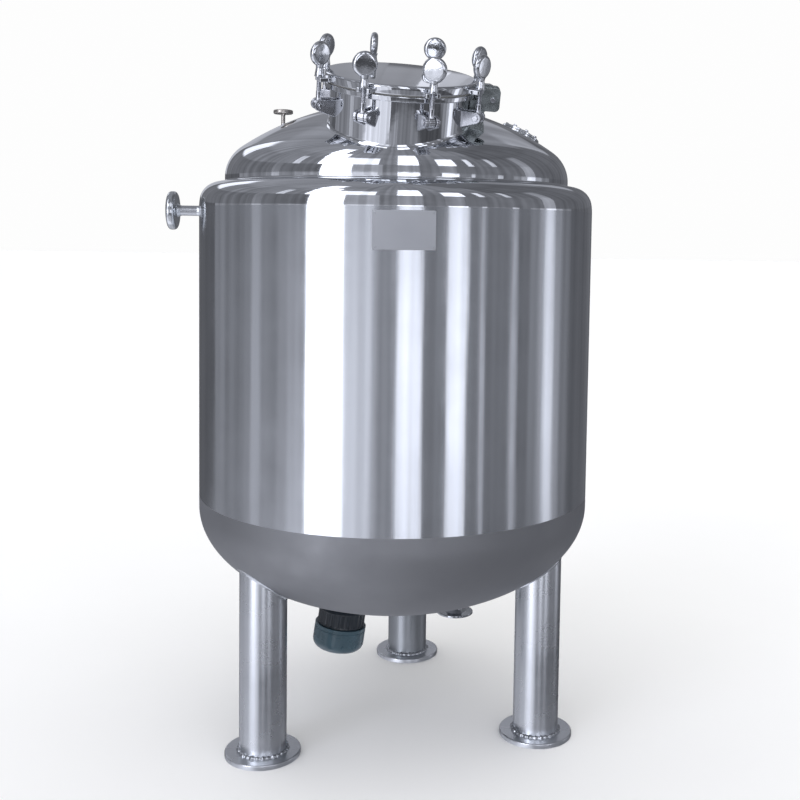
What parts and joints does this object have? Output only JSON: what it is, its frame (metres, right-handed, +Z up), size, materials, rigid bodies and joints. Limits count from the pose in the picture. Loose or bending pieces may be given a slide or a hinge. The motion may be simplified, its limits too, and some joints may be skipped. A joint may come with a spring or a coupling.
{
  "type": "jacketed mixing tank",
  "caption": "Stainless jacketed mixing tank on three pipe legs, with an off-centre round pressure manway held by swing bolts, and a mixer drive under its dished bottom.",
  "frame": {"origin": "on the floor under the middle of the bounding box; the tank's axis is at x = 0.0425", "axes": "+Z up along the tank's axis, -Y towards the front with the nameplate, -X towards the side nozzle"},
  "size_m": [1.085, 1.0036, 1.751],
  "materials": {
    "brushed_cylinder": "circumferentially brushed",
    "satin_head": "matte satin",
    "vessel_steel": "satin",
    "polished_head": "mirror polished",
    "polished_manway": "mirror polished",
    "gasket": "matte",
    "polished_lid": "mirror polished",
    "hinge_steel": "satin",
    "polished_fitting": "polished",
    "sight_glass": "clear",
    "stub_steel": "satin",
    "nozzle_steel": "turned",
    "mount_steel": "satin",
    "motor_paint": "semi-matte paint",
    "cowl_paint": "semi-matte paint",
    "plate_blank": "matte, blank",
    "leg_steel": "brushed along the pipe",
    "bolt_steel": "turned",
    "nut_steel": "polished"
  },
  "bodies": {
    "vessel": {"jacket_shell": "brushed_cylinder", "bottom_head": "satin_head", "vessel_wall": "vessel_steel", "vessel_bottom": "vessel_steel", "top_head": "polished_head", "manway_neck": "polished_manway", "manway_gasket": "gasket", "manway_lid": "polished_lid", "hinge_bracket": "hinge_steel", "hinge_arm": "hinge_steel", "sight_glass_base": "polished_fitting", "sight_glass_pane": "sight_glass", "sight_glass_ring": "polished_fitting", "vent_stub": "stub_steel", "side_nozzle": "nozzle_steel", "side_nozzle_flange": "nozzle_steel", "outlet_nozzle": "nozzle_steel", "mixer_mount": "mount_steel", "motor_housing": "motor_paint", "fan_cowl": "cowl_paint", "nameplate": "plate_blank", "leg_front_left": "leg_steel", "leg_front_right": "leg_steel", "leg_rear": "leg_steel", "foot_front_left": "leg_steel", "foot_front_right": "leg_steel", "foot_rear": "leg_steel"},
    "bolt_1": {"swing_bolt_1": "bolt_steel", "knob_nut_1": "nut_steel"},
    "bolt_2": {"swing_bolt_2": "bolt_steel", "knob_nut_2": "nut_steel"},
    "bolt_3": {"swing_bolt_3": "bolt_steel", "knob_nut_3": "nut_steel"},
    "bolt_4": {"swing_bolt_4": "bolt_steel", "knob_nut_4": "nut_steel"},
    "bolt_5": {"swing_bolt_5": "bolt_steel", "knob_nut_5": "nut_steel"},
    "bolt_6": {"swing_bolt_6": "bolt_steel", "knob_nut_6": "nut_steel"},
    "bolt_7": {"swing_bolt_7": "bolt_steel", "knob_nut_7": "nut_steel"},
    "bolt_8": {"swing_bolt_8": "bolt_steel", "knob_nut_8": "nut_steel"}
  },
  "joints": [
    {"name": "bolt_1_swing", "type": "hinge", "parent": "vessel", "child": "bolt_1", "pos_m": [-0.03591, -0.45588, 1.51404], "axis": [0.9102, -0.3793, -0.1664], "range_deg": [0, 90]},
    {"name": "bolt_2_swing", "type": "hinge", "parent": "vessel", "child": "bolt_2", "pos_m": [0.11227, -0.4579, 1.50479], "axis": [0.9338, 0.3541, 0.0513], "range_deg": [0, 90]},
    {"name": "bolt_3_swing", "type": "hinge", "parent": "vessel", "child": "bolt_3", "pos_m": [0.22028, -0.35872, 1.5281], "axis": [0.4104, 0.8801, 0.2389], "range_deg": [0, 90]},
    {"name": "bolt_4_swing", "type": "hinge", "parent": "vessel", "child": "bolt_4", "pos_m": [0.22485, -0.21644, 1.57032], "axis": [-0.3535, 0.8905, 0.2865], "range_deg": [0, 90]},
    {"name": "bolt_5_swing", "type": "hinge", "parent": "vessel", "child": "bolt_5", "pos_m": [0.12331, -0.11441, 1.60672], "axis": [-0.9102, 0.3793, 0.1664], "range_deg": [0, 90]},
    {"name": "bolt_6_swing", "type": "hinge", "parent": "vessel", "child": "bolt_6", "pos_m": [-0.02487, -0.11239, 1.61597], "axis": [-0.9338, -0.3541, -0.0513], "range_deg": [0, 90]},
    {"name": "bolt_7_swing", "type": "hinge", "parent": "vessel", "child": "bolt_7", "pos_m": [-0.13288, -0.21157, 1.59265], "axis": [-0.4104, -0.8801, -0.2389], "range_deg": [0, 90]},
    {"name": "bolt_8_swing", "type": "hinge", "parent": "vessel", "child": "bolt_8", "pos_m": [-0.13745, -0.35385, 1.55043], "axis": [0.3535, -0.8905, -0.2865], "range_deg": [0, 90]}
  ]
}
